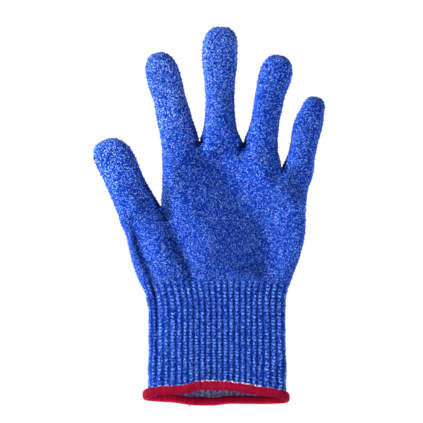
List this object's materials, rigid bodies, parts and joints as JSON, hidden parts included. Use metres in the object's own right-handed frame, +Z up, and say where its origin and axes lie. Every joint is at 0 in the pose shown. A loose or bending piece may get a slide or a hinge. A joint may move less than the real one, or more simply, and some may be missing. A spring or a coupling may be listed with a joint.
{
  "type": "cut resistant glove",
  "caption": "Seamless flat-knit cut resistant glove lying palm up: blue and white melange knit hand, jointed fingers and thumb, ribbed elastic cuff and a red overlocked hem.",
  "frame": {"origin": "centre of the palm on the plane the glove rests on", "axes": "+Y from the wrist to the fingertips, -X to the thumb, +Z up out of the palm side"},
  "size_m": [0.1481, 0.2437, 0.0206],
  "materials": {
    "knit_shell": "plain 13 gauge jersey knit, blue and white melange yarn, matt and slightly fuzzy",
    "rib_knit": "elastic mock rib knit, blue and white melange yarn, matt",
    "hem_thread": "dense overlock stitches of textured crimson polyester thread",
    "elastic_yarn": "covered elastane yarn, satin"
  },
  "bodies": {
    "hand": {"hand_body": "knit_shell"},
    "cuff": {"cuff_rib": "rib_knit", "cuff_elastic": "elastic_yarn", "cuff_hem": "hem_thread", "hem_thread_tail": "hem_thread"},
    "thumb_base": {"thumb_base": "knit_shell"},
    "thumb_middle": {"thumb_middle": "knit_shell"},
    "thumb_tip": {"thumb_tip": "knit_shell"},
    "index_base": {"index_base": "knit_shell"},
    "index_middle": {"index_middle": "knit_shell"},
    "index_tip": {"index_tip": "knit_shell"},
    "middle_base": {"middle_base": "knit_shell"},
    "middle_middle": {"middle_middle": "knit_shell"},
    "middle_tip": {"middle_tip": "knit_shell"},
    "ring_base": {"ring_base": "knit_shell"},
    "ring_middle": {"ring_middle": "knit_shell"},
    "ring_tip": {"ring_tip": "knit_shell"},
    "little_base": {"little_base": "knit_shell"},
    "little_middle": {"little_middle": "knit_shell"},
    "little_tip": {"little_tip": "knit_shell"}
  },
  "joints": [
    {"name": "wrist_flex", "type": "hinge", "parent": "hand", "child": "cuff", "pos_m": [0, -0.0385, 0.0103], "axis": [-1, 0, 0], "range_deg": [-40, 40]},
    {"name": "thumb_swing", "type": "hinge", "parent": "hand", "child": "thumb_base", "pos_m": [-0.0498, 0.0097, 0.0082], "axis": [0, 0, 1], "range_deg": [-20, 20]},
    {"name": "thumb_knuckle_flex", "type": "hinge", "parent": "thumb_base", "child": "thumb_middle", "pos_m": [-0.05725, 0.02498, 0.0082], "axis": [0.8988, 0.4384, 0], "range_deg": [-10, 50]},
    {"name": "thumb_end_flex", "type": "hinge", "parent": "thumb_middle", "child": "thumb_tip", "pos_m": [-0.0647, 0.04026, 0.0082], "axis": [0.8988, 0.4384, 0], "range_deg": [-10, 65]},
    {"name": "index_root_flex", "type": "hinge", "parent": "hand", "child": "index_base", "pos_m": [-0.0256, 0.0631, 0.0079], "axis": [0.9724, 0.2334, 0], "range_deg": [-15, 75]},
    {"name": "index_middle_flex", "type": "hinge", "parent": "index_base", "child": "index_middle", "pos_m": [-0.03004, 0.08158, 0.0079], "axis": [0.9724, 0.2334, 0], "range_deg": [-10, 85]},
    {"name": "index_end_flex", "type": "hinge", "parent": "index_middle", "child": "index_tip", "pos_m": [-0.03354, 0.09616, 0.0079], "axis": [0.9724, 0.2334, 0], "range_deg": [-10, 40]},
    {"name": "middle_root_flex", "type": "hinge", "parent": "hand", "child": "middle_base", "pos_m": [0.0022, 0.0625, 0.0079], "axis": [1, 0.0087, 0], "range_deg": [-15, 75]},
    {"name": "middle_middle_flex", "type": "hinge", "parent": "middle_base", "child": "middle_middle", "pos_m": [0.00199, 0.0865, 0.0079], "axis": [1, 0.0087, 0], "range_deg": [-10, 85]},
    {"name": "middle_end_flex", "type": "hinge", "parent": "middle_middle", "child": "middle_tip", "pos_m": [0.00182, 0.1065, 0.0079], "axis": [1, 0.0087, 0], "range_deg": [-10, 40]},
    {"name": "ring_root_flex", "type": "hinge", "parent": "hand", "child": "ring_base", "pos_m": [0.0298, 0.0612, 0.0079], "axis": [0.9774, -0.2113, 0], "range_deg": [-15, 75]},
    {"name": "ring_middle_flex", "type": "hinge", "parent": "ring_base", "child": "ring_middle", "pos_m": [0.03382, 0.07977, 0.0079], "axis": [0.9774, -0.2113, 0], "range_deg": [-10, 85]},
    {"name": "ring_end_flex", "type": "hinge", "parent": "ring_middle", "child": "ring_tip", "pos_m": [0.03699, 0.09443, 0.0079], "axis": [0.9774, -0.2113, 0], "range_deg": [-10, 40]},
    {"name": "little_root_flex", "type": "hinge", "parent": "hand", "child": "little_base", "pos_m": [0.0536, 0.0438, 0.0072], "axis": [0.974, -0.2267, 0], "range_deg": [-15, 70]},
    {"name": "little_middle_flex", "type": "hinge", "parent": "little_base", "child": "little_middle", "pos_m": [0.057, 0.05841, 0.0072], "axis": [0.974, -0.2267, 0], "range_deg": [-10, 80]},
    {"name": "little_end_flex", "type": "hinge", "parent": "little_middle", "child": "little_tip", "pos_m": [0.05995, 0.07107, 0.0072], "axis": [0.974, -0.2267, 0], "range_deg": [-10, 40]}
  ]
}
